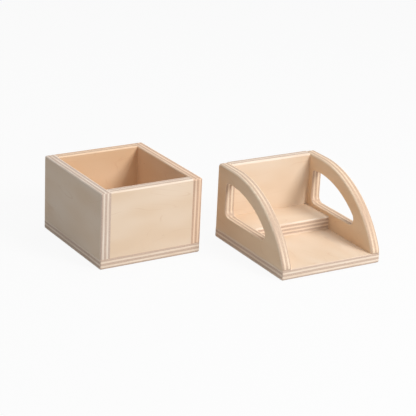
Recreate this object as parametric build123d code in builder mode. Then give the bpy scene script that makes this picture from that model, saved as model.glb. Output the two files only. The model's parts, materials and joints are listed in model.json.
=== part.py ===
"""Two-piece plywood washer toss set: a closed box and an open-fronted box with a step.

Millimetres, +Z up. The origin is the centre of the closed box's underside, with its front
facing -Y. The open box stands to its right and a little in front, turned slightly.
Every board is butt jointed: dowels hold the uprights to each other, and screws come up
through the base boards.
"""
from build123d import *
from math import atan2, cos, degrees, radians, sin, sqrt, tan
import os

os.makedirs("parts", exist_ok=True)

# ---- stock ----
board = 19.0              # five-ply board: bases, walls, side panels, back panel
step_board = 24.0         # seven-ply board: the step

# ---- closed box ----
box_width = 200.0         # along X
box_depth = 222.0         # along Y
box_height = 140.0

# ---- open box ----
open_width = 206.0
open_depth = 228.0
open_height = 142.5
arc_radius = 196.0        # the sweep of each side panel, level where it meets the top
front_rise = 5.0          # upright length of the side panel's front edge, above the base
front_corner_radius = 16.0  # where that front edge leans back into the sweep
back_corner_radius = 7.0  # top rear corner of each side panel, seen from the side
step_depth = 73.5         # front to back, from the back panel forward

# ---- window in each side panel ----
rim_width = 27.6          # between the sweep and the window's curved edge
sill_height = 31.0        # from the base board up to the window
rear_post = 31.6          # from the window to the back of the panel
window_radius = 12.0      # front tip and lower rear corner
window_top_radius = 6.5   # upper rear corner

# ---- where the open box stands, from the closed box's centre ----
open_right = 265.0
open_forward = 173.6
open_turn = -1.2          # degrees about Z

# ---- eased edges ----
edge_round = 3.4          # outer edges of both boxes
rim_round = 3.0           # inner rim of the closed box
seam_round = 1.6          # top edge of the base boards, beside the walls
sweep_round = 4.4         # both long edges of the side panels' sweep
window_round = 1.8        # edges of the windows
step_round = 3.0          # front top edge of the step

# ---- dowels ----
dowel_radius = 4.0
dowel_length = 36.0
dowel_in_side = 12.0      # how far a dowel runs into the side board
dowel_clearance = 0.08    # all round
dowel_end_gap = 1.0       # glue space at each end
dowel_chamfer = 0.8

# ---- wood screws, up through the base ----
screw_radius = 2.1
screw_length = 35.0
screw_head_radius = 4.1
screw_head_angle = 90.0   # included, of the countersunk head
screw_tip_length = 5.0
screw_recess = 1.0        # head below the underside
screw_clearance = 0.08    # all round
screw_end_gap = 1.0       # beyond the tip
drive_slot_width = 1.0
drive_slot_length = 4.6
drive_slot_depth = 1.4
screw_inset = 38.0        # from a board's end to its first screw

# ---- derived ----
screw_head_height = (screw_head_radius - screw_radius) / tan(radians(screw_head_angle / 2))
wall_height = box_height - board
inner_width = box_width - 2 * board
inner_depth = box_depth - 2 * board
open_inner_width = open_width - 2 * board
open_back_inside = open_depth / 2 - board
step_front = open_back_inside - step_depth
bottom_up = (Align.CENTER, Align.CENTER, Align.MIN)

open_frame = Plane(
    origin=(open_right, -open_forward, 0),
    x_dir=(cos(radians(open_turn)), sin(radians(open_turn)), 0),
)

open_across = Axis(open_frame.origin, open_frame.x_dir)


def open_upright(x):
    """A sketch plane across the open box at x: its X runs to the back, its Y up."""
    origin = open_frame.from_local_coords((x, 0, 0))
    return Plane(origin=origin, x_dir=open_frame.y_dir, z_dir=open_frame.x_dir)


def evenly(first, last, count):
    """Count values from first to last."""
    return [first + (last - first) * i / (count - 1) for i in range(count)]


# ---- dowels: each lies along X, centred so that dowel_in_side of it is in the side board ----

def dowel_x(side, joint_face):
    """Middle of a dowel through the joint at x = side * joint_face."""
    return side * (joint_face + dowel_in_side - dowel_length / 2)


def drill_dowels(places, plane):
    """Blind holes for dowels, cut in the board being built."""
    with Locations(*[plane * Location(place) for place in places]):
        Cylinder(
            dowel_radius + dowel_clearance,
            dowel_length + 2 * dowel_end_gap,
            rotation=(0, 90, 0),
            mode=Mode.SUBTRACT,
        )


def make_dowels(places, plane):
    """The dowels themselves, with chamfered ends."""
    with BuildPart() as dowels:
        with Locations(*[plane * Location(place) for place in places]):
            Cylinder(dowel_radius, dowel_length, rotation=(0, 90, 0))
        chamfer(dowels.edges().filter_by(GeomType.CIRCLE), dowel_chamfer)
    return dowels.part


# ---- screws: each stands upright, its head under the base ----

def drill_base(places, plane):
    """Clearance holes with countersinks, cut from the underside of a base board."""
    with Locations(*[plane * Location((x, y, screw_recess), (180, 0, 0)) for x, y in places]):
        CounterSinkHole(
            screw_radius + screw_clearance,
            screw_head_radius + screw_clearance,
            counter_sink_angle=screw_head_angle,
        )
    with Locations(*[plane * Location((x, y, 0)) for x, y in places]):
        Cylinder(
            screw_head_radius + screw_clearance,
            screw_recess,
            align=bottom_up,
            mode=Mode.SUBTRACT,
        )


def drill_pilots(places, plane):
    """Pilot holes in the board that stands on the base."""
    depth = screw_recess + screw_length + screw_end_gap - board
    with Locations(*[plane * Location((x, y, board)) for x, y in places]):
        Cylinder(screw_radius + screw_clearance, depth, align=bottom_up, mode=Mode.SUBTRACT)


def make_screws(places, plane):
    """Countersunk wood screws with a cross recess and a tapered tip."""
    shank = screw_length - screw_head_height - screw_tip_length
    head = [plane * Location((x, y, screw_recess)) for x, y in places]
    neck = [plane * Location((x, y, screw_recess + screw_head_height)) for x, y in places]
    taper = [plane * Location((x, y, screw_recess + screw_length - screw_tip_length)) for x, y in places]
    slots = [(drive_slot_length, drive_slot_width), (drive_slot_width, drive_slot_length)]
    with BuildPart() as screws:
        with Locations(*head):
            Cone(screw_head_radius, screw_radius, screw_head_height, align=bottom_up)
        with Locations(*neck):
            Cylinder(screw_radius, shank, align=bottom_up)
        with Locations(*taper):
            Cone(screw_radius, screw_radius / 5, screw_tip_length, align=bottom_up)
        with Locations(*head):
            for length, width in slots:
                Box(length, width, drive_slot_depth, align=bottom_up, mode=Mode.SUBTRACT)
    return screws.part


def make_base(plane, width, depth, screw_places):
    """A base board: eased all round underneath, and less along the seam with the walls."""
    with BuildPart() as base:
        with BuildSketch(plane):
            Rectangle(width, depth)
        extrude(amount=board)
        fillet(base.edges().filter_by(Axis.Z), edge_round)
        fillet(base.faces().sort_by(Axis.Z)[0].edges(), edge_round)
        fillet(base.faces().sort_by(Axis.Z)[-1].edges(), seam_round)
        drill_base(screw_places, plane)
    return base.part


# ======== closed box ========

# the walls' common envelope: eased in one pass round the outside and round the inner rim
with BuildPart() as wall_ring:
    with BuildSketch(Plane.XY.offset(board)):
        Rectangle(box_width, box_depth)
        Rectangle(inner_width, inner_depth, mode=Mode.SUBTRACT)
    extrude(amount=wall_height)
    ring_uprights = wall_ring.edges().filter_by(Axis.Z)
    fillet(ring_uprights.filter_by(lambda e: abs(e.center().X) > inner_width / 2 + board / 2), edge_round)
    rim = wall_ring.faces().sort_by(Axis.Z)[-1]
    fillet(rim.outer_wire().edges(), edge_round)
    rim = wall_ring.faces().sort_by(Axis.Z)[-1]
    fillet(rim.inner_wires()[0].edges(), rim_round)

wall_middle_x = (box_width - board) / 2
wall_middle_y = (box_depth - board) / 2
dowel_levels = evenly(board + wall_height / 6, board + wall_height * 5 / 6, 3)
box_dowels = {
    (side, end): [(dowel_x(side, inner_width / 2), end * wall_middle_y, z) for z in dowel_levels]
    for side in (-1, 1)
    for end in (-1, 1)
}
side_wall_screws = {
    side: [(side * wall_middle_x, y) for y in evenly(screw_inset - box_depth / 2, box_depth / 2 - screw_inset, 3)]
    for side in (-1, 1)
}
end_wall_screws = {
    end: [(x, end * wall_middle_y) for x in evenly(screw_inset - inner_width / 2, inner_width / 2 - screw_inset, 2)]
    for end in (-1, 1)
}
box_screw_places = side_wall_screws[-1] + side_wall_screws[1] + end_wall_screws[-1] + end_wall_screws[1]


def side_wall(side):
    """A side wall runs the full depth of the box, over the ends of the other two."""
    with BuildPart() as wall:
        with BuildSketch(Plane.XY.offset(board)):
            with Locations((side * wall_middle_x, 0)):
                Rectangle(board, box_depth)
        extrude(amount=wall_height)
        add(wall_ring.part, mode=Mode.INTERSECT)
        drill_dowels(box_dowels[side, -1] + box_dowels[side, 1], Plane.XY)
        drill_pilots(side_wall_screws[side], Plane.XY)
    return wall.part


def end_wall(end):
    """The front and back walls stand between the side walls."""
    with BuildPart() as wall:
        with BuildSketch(Plane.XY.offset(board)):
            with Locations((0, end * wall_middle_y)):
                Rectangle(inner_width, board)
        extrude(amount=wall_height)
        add(wall_ring.part, mode=Mode.INTERSECT)
        drill_dowels(box_dowels[-1, end] + box_dowels[1, end], Plane.XY)
        drill_pilots(end_wall_screws[end], Plane.XY)
    return wall.part


pieces = {
    "box_base": make_base(Plane.XY, box_width, box_depth, box_screw_places),
    "box_left_wall": side_wall(-1),
    "box_right_wall": side_wall(1),
    "box_front_wall": end_wall(-1),
    "box_back_wall": end_wall(1),
    "box_corner_dowels": make_dowels([place for corner in box_dowels.values() for place in corner], Plane.XY),
    "box_base_screws": make_screws(box_screw_places, Plane.XY),
}

# ======== open box ========

sweep_start = board + front_rise
sweep_centre_z = open_height - arc_radius
sweep_centre_y = sqrt(arc_radius**2 - (sweep_start - sweep_centre_z) ** 2) - open_depth / 2
window_arc = arc_radius - rim_width
window_sill = board + sill_height
window_back = open_depth / 2 - rear_post
window_front = sweep_centre_y - sqrt(window_arc**2 - (window_sill - sweep_centre_z) ** 2)
window_top = sweep_centre_z + sqrt(window_arc**2 - (window_back - sweep_centre_y) ** 2)


open_middle_x = (open_width - board) / 2
back_middle_y = (open_depth - board) / 2
back_rise = open_height - board
back_dowel_levels = evenly(board + back_rise / 6, board + back_rise * 5 / 6, 3)
open_dowels = {
    side: [(dowel_x(side, open_inner_width / 2), back_middle_y, z) for z in back_dowel_levels]
    for side in (-1, 1)
}
open_side_screws = {
    side: [(side * open_middle_x, y) for y in evenly(screw_inset - open_depth / 2, open_depth / 2 - screw_inset, 3)]
    for side in (-1, 1)
}
screw_columns = evenly(screw_inset - open_inner_width / 2, open_inner_width / 2 - screw_inset, 2)
back_screws = [(x, back_middle_y) for x in screw_columns]
step_screws = [(x, step_front + step_depth * share) for x in screw_columns for share in (0.25, 0.75)]
open_screw_places = open_side_screws[-1] + open_side_screws[1] + back_screws + step_screws


def bearing(y, z):
    """The angle at which the sweep's centre sees a point, in degrees above the level."""
    return degrees(atan2(z - sweep_centre_z, y - sweep_centre_y))


sweep_from = bearing(-open_depth / 2, sweep_start)
window_from = bearing(window_front, window_sill)
window_to = bearing(window_back, window_top)


def along_inside(edge):
    """Whether an edge follows the sweep, the top or the front on a side panel's inner face."""
    place = open_frame.to_local_coords(edge.center())
    on_inner_face = abs(abs(place.X) - open_inner_width / 2) < 0.01
    return on_inner_face and place.Z > board + 0.01 and place.Y < open_back_inside - 0.01


# the common envelope of sides and back: the sweep runs right across, and its inner edges are
# eased in one pass, down both side panels and along the back panel
with BuildPart() as open_ring:
    with BuildSketch(open_upright(-open_width / 2)) as outline:
        with BuildLine():
            CenterArc((sweep_centre_y, sweep_centre_z), arc_radius, sweep_from, 90 - sweep_from)
            Polyline(
                (sweep_centre_y, open_height),
                (open_depth / 2, open_height),
                (open_depth / 2, board),
                (-open_depth / 2, board),
                (-open_depth / 2, sweep_start),
            )
        make_face()
        fillet(outline.vertices().sort_by_distance((-open_depth / 2, sweep_start))[0], front_corner_radius)
    extrude(amount=open_width)
    with BuildSketch(open_frame.offset(board)):
        with Locations((0, -board / 2)):
            Rectangle(open_inner_width, open_depth - board)
    extrude(amount=open_height, mode=Mode.SUBTRACT)
    back_rim = open_frame.from_local_coords((0, open_back_inside, open_height))
    level_edges = open_ring.edges().filter_by(open_across)
    fillet(open_ring.edges().filter_by(along_inside) + level_edges.sort_by_distance(back_rim)[:1], sweep_round)


def side_panel(side):
    """A side panel: its share of the envelope, with a window and its outer edges eased."""
    with BuildPart() as upright:
        add(open_ring.part)
        with BuildSketch(open_frame.offset(board)):
            with Locations((side * open_middle_x, 0)):
                Rectangle(board, open_depth)
        extrude(amount=open_height, mode=Mode.INTERSECT)
        top_rear = open_frame.from_local_coords((side * open_middle_x, open_depth / 2, open_height))
        fillet(upright.edges().filter_by(open_across).sort_by_distance(top_rear)[:1], back_corner_radius)
        faces = upright.faces().filter_by(open_across).sort_by(open_across)
        outer_face = faces[-1] if side > 0 else faces[0]
        fillet(outer_face.edges().filter_by(lambda e: e.center().Z > board + 0.01), sweep_round)
        with BuildSketch(open_upright(side * open_middle_x - board / 2)) as window:
            with BuildLine():
                CenterArc((sweep_centre_y, sweep_centre_z), window_arc, window_from, window_to - window_from)
                Polyline((window_back, window_top), (window_back, window_sill), (window_front, window_sill))
            make_face()
            fillet(window.vertices().sort_by_distance((window_back, window_top))[0], window_top_radius)
            fillet(window.vertices().sort_by_distance((window_back, window_sill))[0], window_radius)
            fillet(window.vertices().sort_by_distance((window_front, window_sill))[0], window_radius)
        extrude(amount=board, mode=Mode.SUBTRACT)
        flat_faces = upright.faces().filter_by(open_across).sort_by(SortBy.AREA)[-2:]
        window_rims = [face.inner_wires()[0] for face in flat_faces]
        fillet([edge for rim in window_rims for edge in rim.edges()], window_round)
        drill_dowels(open_dowels[side], open_frame)
        drill_pilots(open_side_screws[side], open_frame)
    return upright.part


with BuildPart() as open_back_panel:
    add(open_ring.part)
    with BuildSketch(open_frame.offset(board)):
        with Locations((0, back_middle_y)):
            Rectangle(open_inner_width, board)
    extrude(amount=open_height, mode=Mode.INTERSECT)
    top_rear = open_frame.from_local_coords((0, open_depth / 2, open_height))
    fillet(open_back_panel.edges().filter_by(open_across).sort_by_distance(top_rear)[:1], edge_round)
    drill_dowels(open_dowels[-1] + open_dowels[1], open_frame)
    drill_pilots(back_screws, open_frame)

with BuildPart() as open_step:
    with BuildSketch(open_frame.offset(board)):
        with Locations((0, step_front + step_depth / 2)):
            Rectangle(open_inner_width, step_depth)
    extrude(amount=step_board)
    top_edges = open_step.faces().sort_by(Axis.Z)[-1].edges().filter_by(open_across)
    fillet(top_edges.sort_by(Axis.Y)[0], step_round)
    drill_pilots(step_screws, open_frame)

pieces |= {
    "open_base": make_base(open_frame, open_width, open_depth, open_screw_places),
    "open_left_side": side_panel(-1),
    "open_right_side": side_panel(1),
    "open_back_panel": open_back_panel.part,
    "open_step": open_step.part,
    "open_corner_dowels": make_dowels(open_dowels[-1] + open_dowels[1], open_frame),
    "open_base_screws": make_screws(open_screw_places, open_frame),
}

for name, piece in pieces.items():
    piece.label = name
    export_step(piece, f"parts/{name}.step")
    print(f"{name}: {len(piece.solids())} solids, {piece.volume / 1000:.1f} cm3")
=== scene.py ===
import json
import math

import bmesh
import bpy
from mathutils import Matrix, Vector

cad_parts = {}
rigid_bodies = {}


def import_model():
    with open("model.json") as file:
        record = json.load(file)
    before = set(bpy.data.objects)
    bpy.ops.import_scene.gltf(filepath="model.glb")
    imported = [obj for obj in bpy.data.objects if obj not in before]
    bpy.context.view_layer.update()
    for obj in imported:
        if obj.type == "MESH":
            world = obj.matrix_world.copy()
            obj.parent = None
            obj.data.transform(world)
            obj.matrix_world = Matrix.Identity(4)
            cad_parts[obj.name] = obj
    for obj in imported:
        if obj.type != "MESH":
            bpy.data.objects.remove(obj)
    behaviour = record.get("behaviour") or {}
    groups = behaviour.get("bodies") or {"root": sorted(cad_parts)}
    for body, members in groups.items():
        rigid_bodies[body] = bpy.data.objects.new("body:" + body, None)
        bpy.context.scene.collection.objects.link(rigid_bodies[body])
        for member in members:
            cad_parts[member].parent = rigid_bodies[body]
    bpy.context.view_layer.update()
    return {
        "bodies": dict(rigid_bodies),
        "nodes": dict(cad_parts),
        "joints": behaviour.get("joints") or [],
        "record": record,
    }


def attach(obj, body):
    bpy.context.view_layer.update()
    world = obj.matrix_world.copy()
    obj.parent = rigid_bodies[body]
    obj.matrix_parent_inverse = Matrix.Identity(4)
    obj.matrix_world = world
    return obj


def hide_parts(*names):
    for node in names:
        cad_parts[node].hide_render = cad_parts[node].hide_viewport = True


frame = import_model()

mm = 0.001


def note(text):
    print("scene:", text)


# the open box stands turned on the ground: its own axes come from its two mounts and this angle
openTurn = math.radians(-1.2)
mountPlaces = {m["name"]: Vector(m["pos_m"]) for m in frame["record"]["mounts"]}
bodyNodes = frame["record"]["behaviour"]["bodies"]
frame["bodyOf"] = {node: body for body, nodes in bodyNodes.items() for node in nodes}
closedMiddle = mountPlaces["box_underside"]
openMiddle = mountPlaces["open_box_underside"]


def boardFrame(bodyName):
    # centre on the ground and turn of the box that a board belongs to
    return (closedMiddle, 0.0) if bodyName == "closed_box" else (openMiddle, openTurn)


def localBox(nodeName):
    # lowest and highest corner of a node along its own box's axes
    node = frame["nodes"][nodeName]
    middle, turn = boardFrame(frame["bodyOf"][nodeName])
    toLocal = Matrix.Rotation(-turn, 4, "Z") @ Matrix.Translation(-middle)
    points = [toLocal @ v.co for v in node.data.vertices]
    low = Vector([min(p[i] for p in points) for i in range(3)])
    high = Vector([max(p[i] for p in points) for i in range(3)])
    return low, high


def srgb(red, green, blue):
    # a colour as a paint chart gives it, 0 to 255, to what the shader wants
    def channel(value):
        value = value / 255
        return value / 12.92 if value <= 0.04045 else ((value + 0.055) / 1.055) ** 2.4

    return (channel(red), channel(green), channel(blue), 1.0)


class Shader:
    # short hand for building a node tree: each call adds one node and returns its first output
    def __init__(self, name):
        self.material = bpy.data.materials.new(name)
        self.material.use_nodes = True
        self.nodes = self.material.node_tree.nodes
        self.links = self.material.node_tree.links
        self.nodes.clear()

    def plug(self, value, socket):
        if isinstance(value, bpy.types.NodeSocket):
            self.links.new(value, socket)
        elif value is not None:
            socket.default_value = value

    def math(self, operation, a, b=None, c=None, clamp=False):
        node = self.nodes.new("ShaderNodeMath")
        node.operation = operation
        node.use_clamp = clamp
        for socket, value in zip(node.inputs, (a, b, c)):
            self.plug(value, socket)
        return node.outputs[0]

    def vector(self, operation, a, b=None):
        node = self.nodes.new("ShaderNodeVectorMath")
        node.operation = operation
        self.plug(a, node.inputs[0])
        self.plug(b, node.inputs[1])
        return node.outputs["Value" if operation in ("DOT_PRODUCT", "LENGTH") else "Vector"]

    def combine(self, x, y, z):
        node = self.nodes.new("ShaderNodeCombineXYZ")
        for socket, value in zip(node.inputs, (x, y, z)):
            self.plug(value, socket)
        return node.outputs[0]

    def split(self, vector):
        node = self.nodes.new("ShaderNodeSeparateXYZ")
        self.plug(vector, node.inputs[0])
        return node.outputs

    def mix(self, factor, a, b, blend="MIX"):
        node = self.nodes.new("ShaderNodeMix")
        node.data_type = "RGBA"
        node.blend_type = blend
        self.plug(factor, node.inputs[0])
        self.plug(a, node.inputs[6])
        self.plug(b, node.inputs[7])
        return node.outputs[2]

    def blend(self, factor, a, b):
        node = self.nodes.new("ShaderNodeMix")
        self.plug(factor, node.inputs[0])
        self.plug(a, node.inputs[2])
        self.plug(b, node.inputs[3])
        return node.outputs[0]

    def ramp(self, value, low, high, toLow=0.0, toHigh=1.0):
        node = self.nodes.new("ShaderNodeMapRange")
        node.interpolation_type = "SMOOTHSTEP"
        for socket, item in zip(node.inputs, (value, low, high, toLow, toHigh)):
            self.plug(item, socket)
        return node.outputs[0]

    def noise(self, vector, scale, detail=2.0, roughness=0.5, distortion=0.0):
        node = self.nodes.new("ShaderNodeTexNoise")
        self.plug(vector, node.inputs["Vector"])
        node.inputs["Scale"].default_value = scale
        node.inputs["Detail"].default_value = detail
        node.inputs["Roughness"].default_value = roughness
        node.inputs["Distortion"].default_value = distortion
        return node.outputs[0]

    def voronoi(self, vector, scale, randomness=1.0):
        node = self.nodes.new("ShaderNodeTexVoronoi")
        self.plug(vector, node.inputs["Vector"])
        node.inputs["Scale"].default_value = scale
        node.inputs["Randomness"].default_value = randomness
        return node.outputs

    def surface(self, colour, roughness, height=None, bump=None, **fixed):
        shader = self.nodes.new("ShaderNodeBsdfPrincipled")
        self.plug(colour, shader.inputs["Base Color"])
        self.plug(roughness, shader.inputs["Roughness"])
        for name, value in fixed.items():
            shader.inputs[name.replace("_", " ")].default_value = value
        if height is not None:
            bumpNode = self.nodes.new("ShaderNodeBump")
            bumpNode.inputs["Strength"].default_value = bump["strength"]
            bumpNode.inputs["Distance"].default_value = bump["depth"]
            self.plug(height, bumpNode.inputs["Height"])
            self.links.new(bumpNode.outputs[0], shader.inputs["Normal"])
        out = self.nodes.new("ShaderNodeOutputMaterial")
        self.links.new(shader.outputs[0], out.inputs[0])
        return self.material


plywoodLook = {
    "faceLight": srgb(232, 211, 188),
    "faceMid": srgb(226, 200, 172),
    "faceFlame": srgb(202, 160, 124),
    "longGrain": srgb(240, 224, 206),
    "longGrainDark": srgb(228, 206, 184),
    "endGrain": srgb(210, 186, 168),
    "endGrainDark": srgb(184, 156, 138),
    "glueLine": srgb(138, 102, 78),
    "fleck": srgb(150, 104, 72),
    "glueWidth": 0.16,       # mm
    "plyWander": 0.35,       # mm, how far the plies wave in thickness
    "roughness": 0.58,
    "bumpDepth": 0.00006,    # m
}


def plywoodMaterial(name, low, high, middle, turn, thick, grain, plies, seed, paintedLightTint):
    # thick and grain are the axes (0, 1, 2) of the board's thickness and of its face grain
    look = plywoodLook
    shader = Shader(name)
    cross = 3 - thick - grain
    thickness = (high[thick] - low[thick]) / mm

    # the board's own coordinates in millimetres, from its lowest corner
    place = shader.nodes.new("ShaderNodeTexCoord").outputs["Object"]
    mapping = shader.nodes.new("ShaderNodeMapping")
    mapping.inputs["Rotation"].default_value = (0, 0, -turn)
    mapping.inputs["Scale"].default_value = (1 / mm,) * 3
    mapping.inputs["Location"].default_value = (
        Matrix.Rotation(-turn, 3, "Z") @ (-middle) - low
    ) / mm
    shader.links.new(place, mapping.inputs["Vector"])
    axes = shader.split(mapping.outputs[0])
    depth, along, across = axes[thick], axes[grain], axes[cross]

    # where the surface faces: 1 where it cuts the fibres of the face grain, or of the cross grain, end on
    normal = shader.nodes.new("ShaderNodeNewGeometry").outputs["Normal"]
    toRow = Matrix.Rotation(turn, 3, "Z")
    facing = {}
    for axis in (grain, cross, thick):
        direction = toRow @ Vector([1.0 if i == axis else 0.0 for i in range(3)])
        facing[axis] = shader.math("ABSOLUTE", shader.vector("DOT_PRODUCT", normal, tuple(direction)))

    # ply by ply through the thickness, with a slow wander
    slow = shader.combine(
        shader.math("MULTIPLY", along, 0.02),
        shader.math("MULTIPLY", across, 0.02),
        float(seed),
    )
    wander = shader.math("SUBTRACT", shader.noise(slow, 1.0, 1.0), 0.5)
    wavy = shader.math("MULTIPLY_ADD", wander, 2 * look["plyWander"], depth)
    plyNumber = shader.math("MULTIPLY", wavy, plies / thickness)
    plyNumber = shader.math("MINIMUM", shader.math("MAXIMUM", plyNumber, 0.001), plies - 0.001)
    plyIndex = shader.math("FLOOR", plyNumber)
    crossPly = shader.math("MODULO", plyIndex, 2.0)
    inPly = shader.math("FRACT", plyNumber)
    fromGlue = shader.math("MULTIPLY", shader.math("PINGPONG", inPly, 0.5), thickness / plies)
    nearSkin = shader.math("MINIMUM", plyNumber, shader.math("SUBTRACT", float(plies), plyNumber))
    glue = shader.ramp(fromGlue, 0.0, look["glueWidth"], 1.0, 0.0)
    glue = shader.math("MULTIPLY", glue, shader.ramp(nearSkin, 0.3, 0.6))

    # fibres: streaks along each ply's own grain, dots where it is cut end on
    def fibres(fine, stretch, shift):
        alongFace = shader.combine(
            shader.math("MULTIPLY", along, fine * stretch),
            shader.math("MULTIPLY", across, fine),
            shader.math("MULTIPLY_ADD", depth, fine, float(seed + shift)),
        )
        acrossFace = shader.combine(
            shader.math("MULTIPLY", along, fine),
            shader.math("MULTIPLY", across, fine * stretch),
            shader.math("MULTIPLY_ADD", depth, fine, float(seed + shift)),
        )
        node = shader.nodes.new("ShaderNodeMix")
        node.data_type = "VECTOR"
        shader.plug(crossPly, node.inputs[0])
        shader.plug(alongFace, node.inputs[4])
        shader.plug(acrossFace, node.inputs[5])
        return node.outputs[1]

    fineFibre = shader.noise(fibres(2.2, 0.03, 3), 1.0, 3.0, 0.6)
    broadFibre = shader.noise(fibres(0.45, 0.04, 11), 1.0, 2.0, 0.5)

    # growth rings of the peeled face veneer: contours of a slow field, stretched along the grain
    ringField = shader.combine(
        shader.math("MULTIPLY", along, 0.006),
        shader.math("MULTIPLY", across, 0.016),
        float(seed * 1.7),
    )
    slowField = shader.noise(ringField, 1.0, 1.5, 0.45, 0.35)
    rings = shader.math("PINGPONG", shader.math("MULTIPLY", slowField, 7.0), 0.5)
    ringLine = shader.ramp(rings, 0.0, 0.05, 1.0, 0.0)
    fade = shader.noise(shader.vector("MULTIPLY", ringField, (1.6, 1.6, 1.0)), 2.0, 1.0)
    ringLine = shader.math("MULTIPLY", ringLine, shader.ramp(fade, 0.42, 0.68))
    tone = shader.noise(ringField, 1.4, 1.0, 0.5, 0.1)

    face = shader.mix(shader.ramp(tone, 0.25, 0.75), look["faceLight"], look["faceMid"])
    face = shader.mix(shader.math("MULTIPLY", ringLine, 0.22), face, look["faceFlame"])
    face = shader.mix(
        shader.math("MULTIPLY", shader.ramp(fineFibre, 0.50, 0.78), 0.14), face, look["longGrainDark"]
    )

    # little dark flecks of pith and pin knots, few and far between
    fleckPlace = shader.combine(
        shader.math("MULTIPLY", along, 0.028),
        shader.math("MULTIPLY", across, 0.10),
        shader.math("ADD", plyIndex, float(seed)),
    )
    cells = shader.voronoi(fleckPlace, 1.0)
    fleck = shader.ramp(cells["Distance"], 0.035, 0.075, 1.0, 0.0)
    rarity = shader.ramp(shader.split(cells["Color"])[0], 0.70, 0.80)
    fleck = shader.math("MULTIPLY", shader.math("MULTIPLY", fleck, rarity), 0.35)
    face = shader.mix(fleck, face, look["fleck"])

    longEdge = shader.mix(shader.ramp(broadFibre, 0.30, 0.72), look["longGrain"], look["longGrainDark"])
    longEdge = shader.mix(
        shader.math("MULTIPLY", shader.ramp(fineFibre, 0.5, 0.8), 0.25), longEdge, look["endGrain"]
    )
    endEdge = shader.mix(shader.ramp(fineFibre, 0.30, 0.75), look["endGrain"], look["endGrainDark"])
    broadShare = shader.math("MULTIPLY", shader.ramp(broadFibre, 0.4, 0.7), 0.4)
    endEdge = shader.mix(broadShare, endEdge, look["longGrainDark"])

    # the outer veneers show as a face, the edges show each ply either along or across its fibres
    cutAcross = shader.blend(crossPly, facing[grain], facing[cross])
    endShare = shader.ramp(cutAcross, 0.35, 0.80)
    edge = shader.mix(endShare, longEdge, endEdge)
    edge = shader.mix(shader.math("MULTIPLY", glue, 0.55), edge, look["glueLine"])
    faceShare = shader.ramp(facing[thick], 0.92, 0.99)
    # the board's tint multiplies in painted light: warm bounced light on the box walls, cool fill light on
    # the closed box's left wall
    colour = shader.mix(1.0, shader.mix(faceShare, edge, face), (*paintedLightTint, 1.0), "MULTIPLY")

    grainHeight = shader.math("MULTIPLY", fineFibre, shader.blend(faceShare, 1.0, 0.55))
    glueGroove = shader.math("MULTIPLY", glue, shader.math("SUBTRACT", 1.0, faceShare))
    height = shader.math("SUBTRACT", grainHeight, glueGroove)
    roughness = shader.ramp(fineFibre, 0.2, 0.8, look["roughness"] - 0.07, look["roughness"] + 0.10)
    return shader.surface(
        colour, roughness, height, {"strength": 0.55, "depth": look["bumpDepth"]}, Specular_IOR_Level=0.32
    )


# thickness axis, face grain axis and number of plies of each board, its noise seed, and a tint that paints
# warm bounced light on the box walls and cool fill light on the closed box's left wall
boards = {
    "box_base": {"thick": 2, "grain": 1, "plies": 5, "seed": 3, "paintedLightTint": (1.0, 1.0, 1.0)},
    "box_left_wall": {"thick": 0, "grain": 1, "plies": 5, "seed": 11, "paintedLightTint": (0.95, 0.97, 1.0)},
    "box_right_wall": {"thick": 0, "grain": 1, "plies": 5, "seed": 17, "paintedLightTint": (1.04, 0.93, 0.84)},
    "box_front_wall": {"thick": 1, "grain": 0, "plies": 5, "seed": 23, "paintedLightTint": (1.0, 1.0, 1.0)},
    "box_back_wall": {"thick": 1, "grain": 0, "plies": 5, "seed": 31, "paintedLightTint": (1.05, 0.93, 0.8)},
    "open_base": {"thick": 2, "grain": 1, "plies": 5, "seed": 37, "paintedLightTint": (1.0, 1.0, 1.0)},
    "open_left_side": {"thick": 0, "grain": 1, "plies": 5, "seed": 41, "paintedLightTint": (1.0, 0.965, 0.9)},
    "open_right_side": {"thick": 0, "grain": 1, "plies": 5, "seed": 47, "paintedLightTint": (1.02, 0.955, 0.86)},
    "open_back_panel": {"thick": 1, "grain": 0, "plies": 5, "seed": 53, "paintedLightTint": (1.0, 1.0, 1.0)},
    "open_step": {"thick": 2, "grain": 0, "plies": 7, "seed": 59, "paintedLightTint": (1.0, 1.0, 1.0)},
}


def makeBoard(nodeName, facts):
    node = frame["nodes"][nodeName]
    body = frame["bodyOf"][nodeName]
    middle, turn = boardFrame(body)
    low, high = localBox(nodeName)
    mesh = node.data.copy()
    mesh.materials.clear()
    board = bpy.data.objects.new(nodeName + "_wood", mesh)
    bpy.context.scene.collection.objects.link(board)
    work = bmesh.new()
    work.from_mesh(mesh)
    bmesh.ops.remove_doubles(work, verts=work.verts, dist=0.00001)
    work.to_mesh(mesh)
    work.free()
    mesh.shade_smooth()
    mesh.set_sharp_from_angle(angle=math.radians(35))
    # flat faces stay flat and only the eased edges turn the light
    weighted = board.modifiers.new("weighted", "WEIGHTED_NORMAL")
    weighted.weight = 100
    weighted.keep_sharp = True
    graph = bpy.context.evaluated_depsgraph_get()
    mesh = bpy.data.meshes.new_from_object(
        board.evaluated_get(graph), preserve_all_data_layers=True, depsgraph=graph
    )
    board.modifiers.remove(weighted)
    board.data = mesh
    mesh.materials.clear()
    mesh.materials.append(
        plywoodMaterial(
            nodeName + "_plywood", low, high, middle, turn,
            facts["thick"], facts["grain"], facts["plies"], facts["seed"], facts["paintedLightTint"],
        )
    )
    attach(board, body)
    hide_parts(nodeName)
    return board


for nodeName, facts in boards.items():
    makeBoard(nodeName, facts)
note("boards made")

dowelShader = Shader("beechDowel")
dowelPlace = dowelShader.nodes.new("ShaderNodeTexCoord").outputs["Object"]
dowelFibre = dowelShader.vector("MULTIPLY", dowelPlace, (60.0, 1500.0, 1500.0))
dowelStreak = dowelShader.noise(dowelFibre, 1.0, 3.0)
dowelColour = dowelShader.mix(dowelStreak, srgb(206, 168, 124), srgb(176, 134, 92))
dowelMaterial = dowelShader.surface(dowelColour, 0.6, dowelStreak, {"strength": 0.3, "depth": 0.0001})

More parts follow.
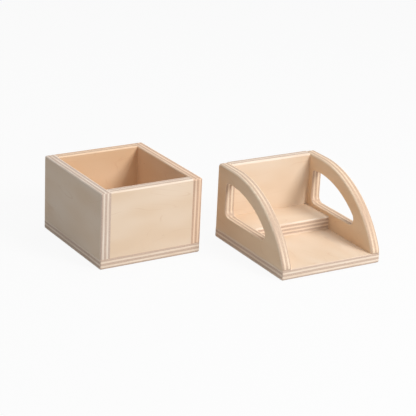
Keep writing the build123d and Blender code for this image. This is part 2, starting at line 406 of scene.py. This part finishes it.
screwShader = Shader("zincPlate")
screwPlace = screwShader.nodes.new("ShaderNodeTexCoord").outputs["Object"]
screwCloud = screwShader.noise(screwPlace, 900.0, 3.0)
screwColour = screwShader.mix(screwCloud, srgb(196, 190, 170), srgb(160, 154, 138))
screwRough = screwShader.ramp(screwCloud, 0.3, 0.7, 0.28, 0.46)
screwMaterial = screwShader.surface(
    screwColour, screwRough, screwCloud, {"strength": 0.2, "depth": 0.00005}, Metallic=1.0
)

screwSizes = {
    "Head Radius": 4.08 * mm,
    "Head Height": 2.0 * mm,
    "Core Radius": 1.5 * mm,
    "Core Length": 28.0 * mm,
    "Tip Length": 4.9 * mm,
    "Tip Radius": 0.2 * mm,
    "Thread Radius": 1.75 * mm,
    "Thread Width": 0.34 * mm,
    "Thread Turns": 14.0,
    "Recess Width": 0.9 * mm,
    "Recess Length": 4.6 * mm,
    "Recess Depth": 1.5 * mm,
}


def screwTree():
    # a countersunk wood screw with a cross recess and a thread, set on every point it is given
    tree = bpy.data.node_groups.new("woodScrews", "GeometryNodeTree")
    face = tree.interface
    face.new_socket("Geometry", in_out="INPUT", socket_type="NodeSocketGeometry")
    for label, size in screwSizes.items():
        face.new_socket(label, in_out="INPUT", socket_type="NodeSocketFloat").default_value = size
    face.new_socket("Geometry", in_out="OUTPUT", socket_type="NodeSocketGeometry")
    entry = tree.nodes.new("NodeGroupInput").outputs

    def add(kind, inputs, **settings):
        node = tree.nodes.new(kind)
        for key, value in settings.items():
            setattr(node, key, value)
        for key, value in inputs.items():
            if hasattr(value, "is_output"):
                tree.links.new(value, node.inputs[key])
            else:
                node.inputs[key].default_value = value
        return node

    def up(shape, height):
        lift = add("ShaderNodeCombineXYZ", {"Z": height}).outputs[0]
        return add("GeometryNodeTransform", {"Geometry": shape, "Translation": lift}).outputs[0]

    def bar(x, y):
        size = add("ShaderNodeCombineXYZ", {"X": x, "Y": y, "Z": entry["Recess Depth"]}).outputs[0]
        return add("GeometryNodeMeshCube", {"Size": size}).outputs[0]

    def taper(bottom, top, height):
        return add(
            "GeometryNodeMeshCone",
            {"Vertices": 32, "Radius Bottom": bottom, "Radius Top": top, "Depth": height},
        ).outputs[0]

    head = taper(entry["Head Radius"], entry["Core Radius"], entry["Head Height"])
    slots = add("GeometryNodeMeshBoolean", {"Mesh 1": head}, operation="DIFFERENCE", solver="EXACT")
    tree.links.new(bar(entry["Recess Width"], entry["Recess Length"]), slots.inputs["Mesh 2"])
    tree.links.new(bar(entry["Recess Length"], entry["Recess Width"]), slots.inputs["Mesh 2"])
    core = up(taper(entry["Core Radius"], entry["Core Radius"], entry["Core Length"]), entry["Head Height"])
    coreSpan = {0: entry["Head Height"], 1: entry["Core Length"]}
    tipFoot = add("ShaderNodeMath", coreSpan, operation="ADD").outputs[0]
    tip = up(taper(entry["Core Radius"], entry["Tip Radius"], entry["Tip Length"]), tipFoot)
    coil = add(
        "GeometryNodeCurveSpiral",
        {
            "Resolution": 16, "Rotations": entry["Thread Turns"], "Height": entry["Core Length"],
            "Start Radius": entry["Thread Radius"], "End Radius": entry["Thread Radius"],
        },
    ).outputs[0]
    ridgeSize = {"Resolution": 4, "Radius": entry["Thread Width"]}
    ridge = add("GeometryNodeCurvePrimitiveCircle", ridgeSize).outputs[0]
    threadParts = {"Curve": coil, "Profile Curve": ridge, "Fill Caps": True}
    thread = add("GeometryNodeCurveToMesh", threadParts).outputs[0]
    screw = tree.nodes.new("GeometryNodeJoinGeometry")
    for part in (slots.outputs[0], core, tip, up(thread, entry["Head Height"])):
        tree.links.new(part, screw.inputs[0])
    spots = add("GeometryNodeMeshToPoints", {"Mesh": entry["Geometry"]}).outputs[0]
    placed = add("GeometryNodeInstanceOnPoints", {"Points": spots, "Instance": screw.outputs[0]}).outputs[0]
    real = add("GeometryNodeRealizeInstances", {"Geometry": placed}).outputs[0]
    done = add("GeometryNodeSetMaterial", {"Geometry": real, "Material": screwMaterial}).outputs[0]
    tree.links.new(done, tree.nodes.new("NodeGroupOutput").inputs[0])
    return tree


def screwPlaces(node):
    # the underside centre of each screw of a node, from the vertices that stand together
    groups = []
    for vertex in node.data.vertices:
        near = [group for group in groups if (group[0].xy - vertex.co.xy).length < 9 * mm]
        if near:
            near[0].append(vertex.co)
        else:
            groups.append([vertex.co])
    return [
        [(min(p[i] for p in group) + max(p[i] for p in group)) / 2 for i in range(2)]
        + [min(p.z for p in group) + 0.05 * mm]
        for group in groups
    ]


def makeScrews(nodeName, tree):
    node = frame["nodes"][nodeName]
    spots = bpy.data.meshes.new(nodeName + "_spots")
    spots.from_pydata(screwPlaces(node), [], [])
    seed = bpy.data.objects.new(nodeName + "_spots", spots)
    bpy.context.scene.collection.objects.link(seed)
    modifier = seed.modifiers.new("screws", "NODES")
    modifier.node_group = tree
    for item in tree.interface.items_tree:
        if item.in_out == "INPUT" and item.name in screwSizes:
            modifier[item.identifier] = screwSizes[item.name]
    graph = bpy.context.evaluated_depsgraph_get()
    mesh = bpy.data.meshes.new_from_object(seed.evaluated_get(graph))
    seed.modifiers.remove(modifier)
    bpy.data.objects.remove(seed)
    screws = bpy.data.objects.new(nodeName + "_zinc", mesh)
    bpy.context.scene.collection.objects.link(screws)
    mesh.shade_smooth()
    mesh.set_sharp_from_angle(angle=math.radians(30))
    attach(screws, frame["bodyOf"][nodeName])
    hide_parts(nodeName)
    note(nodeName + ": " + str(len(spots.vertices)) + " screws")


woodScrews = screwTree()
for nodeName in ("box_base_screws", "open_base_screws"):
    makeScrews(nodeName, woodScrews)

for nodeName, node in frame["nodes"].items():
    if "dowels" in nodeName:
        node.data.materials.clear()
        node.data.materials.append(dowelMaterial)
note("dowels finished")

studio = {
    "worldStrength": 0.35,
    "worldColour": (0.96, 0.98, 1.0, 1.0),
    "keyPlace": (1.15, -2.3, 1.75),
    "keySize": 1.1,
    "keyPower": 62.0,
    "keyColour": (1.0, 0.995, 0.99),
    "topPlace": (0.5, 0.2, 2.6),
    "topSize": 2.2,
    "topPower": 22.0,
    "floorWhite": 0.92,      # share of the floor that is plain white to the camera
}


def makeFloor():
    mesh = bpy.data.meshes.new("floor")
    half = 12.0
    corners = [(-half, -half, 0), (half, -half, 0), (half, half, 0), (-half, half, 0)]
    mesh.from_pydata(corners, [], [(0, 1, 2, 3)])
    floor = bpy.data.objects.new("floor", mesh)
    floor.location.z = -0.00005
    bpy.context.scene.collection.objects.link(floor)
    shader = Shader("floorWhite")
    path = shader.nodes.new("ShaderNodeLightPath").outputs
    bounced = shader.math("MAXIMUM", path["Is Glossy Ray"], path["Is Transmission Ray"])
    seen = shader.math("MAXIMUM", path["Is Camera Ray"], bounced)
    diffuse = shader.nodes.new("ShaderNodeBsdfDiffuse")
    diffuse.inputs["Color"].default_value = (0.66, 0.66, 0.66, 1)
    glow = shader.nodes.new("ShaderNodeEmission")
    glow.inputs["Strength"].default_value = 1.0
    mixed = shader.nodes.new("ShaderNodeMixShader")
    shader.plug(shader.math("MULTIPLY", seen, studio["floorWhite"]), mixed.inputs[0])
    shader.links.new(diffuse.outputs[0], mixed.inputs[1])
    shader.links.new(glow.outputs[0], mixed.inputs[2])
    out = shader.nodes.new("ShaderNodeOutputMaterial")
    shader.links.new(mixed.outputs[0], out.inputs[0])
    mesh.materials.append(shader.material)


def makeWorld():
    world = bpy.data.worlds.new("studio")
    bpy.context.scene.world = world
    world.use_nodes = True
    nodes, links = world.node_tree.nodes, world.node_tree.links
    nodes.clear()
    path = nodes.new("ShaderNodeLightPath").outputs
    ambient = nodes.new("ShaderNodeBackground")
    ambient.inputs["Color"].default_value = studio["worldColour"]
    ambient.inputs["Strength"].default_value = studio["worldStrength"]
    white = nodes.new("ShaderNodeBackground")
    white.inputs["Color"].default_value = (1, 1, 1, 1)
    white.inputs["Strength"].default_value = 1.0
    seenA = nodes.new("ShaderNodeMath")
    seenA.operation = "MAXIMUM"
    links.new(path["Is Camera Ray"], seenA.inputs[0])
    links.new(path["Is Glossy Ray"], seenA.inputs[1])
    seenB = nodes.new("ShaderNodeMath")
    seenB.operation = "MAXIMUM"
    links.new(seenA.outputs[0], seenB.inputs[0])
    links.new(path["Is Transmission Ray"], seenB.inputs[1])
    mixed = nodes.new("ShaderNodeMixShader")
    links.new(seenB.outputs[0], mixed.inputs[0])
    links.new(ambient.outputs[0], mixed.inputs[1])
    links.new(white.outputs[0], mixed.inputs[2])
    out = nodes.new("ShaderNodeOutputWorld")
    links.new(mixed.outputs[0], out.inputs[0])


def makeLamp(name, place, size, power, colour=(1, 1, 1), target=(0.12, -0.06, 0.05)):
    lamp = bpy.data.lights.new(name, "AREA")
    lamp.shape = "DISK"
    lamp.size = size
    lamp.energy = power
    lamp.color = colour
    thing = bpy.data.objects.new(name, lamp)
    thing.location = place
    thing.rotation_euler = (Vector(target) - Vector(place)).to_track_quat("-Z", "Y").to_euler()
    bpy.context.scene.collection.objects.link(thing)


camera = {
    "place": (-1.20659, -2.19934, 1.00361),
    "heading": 32.295,       # degrees, from looking along +Y towards +X
    "downward": 20.463,
    "roll": 2.781,
    "lens": 128.9,
    "sensor": 36.0,
}


def makeCamera():
    data = bpy.data.cameras.new("camera")
    data.sensor_width = camera["sensor"]
    data.lens = camera["lens"]
    thing = bpy.data.objects.new("camera", data)
    thing.location = camera["place"]
    turned = Matrix.Rotation(math.radians(-camera["heading"]), 4, "Z")
    tilted = Matrix.Rotation(math.radians(90 - camera["downward"]), 4, "X")
    rolled = Matrix.Rotation(math.radians(camera["roll"]), 4, "Z")
    thing.rotation_euler = (turned @ tilted @ rolled).to_euler()
    bpy.context.scene.collection.objects.link(thing)
    bpy.context.scene.camera = thing


makeFloor()
makeWorld()
makeLamp("keyLamp", studio["keyPlace"], studio["keySize"], studio["keyPower"], studio["keyColour"])
makeLamp("topLamp", studio["topPlace"], studio["topSize"], studio["topPower"])
makeCamera()
bpy.context.scene.view_settings.view_transform = "Standard"
note("studio ready")
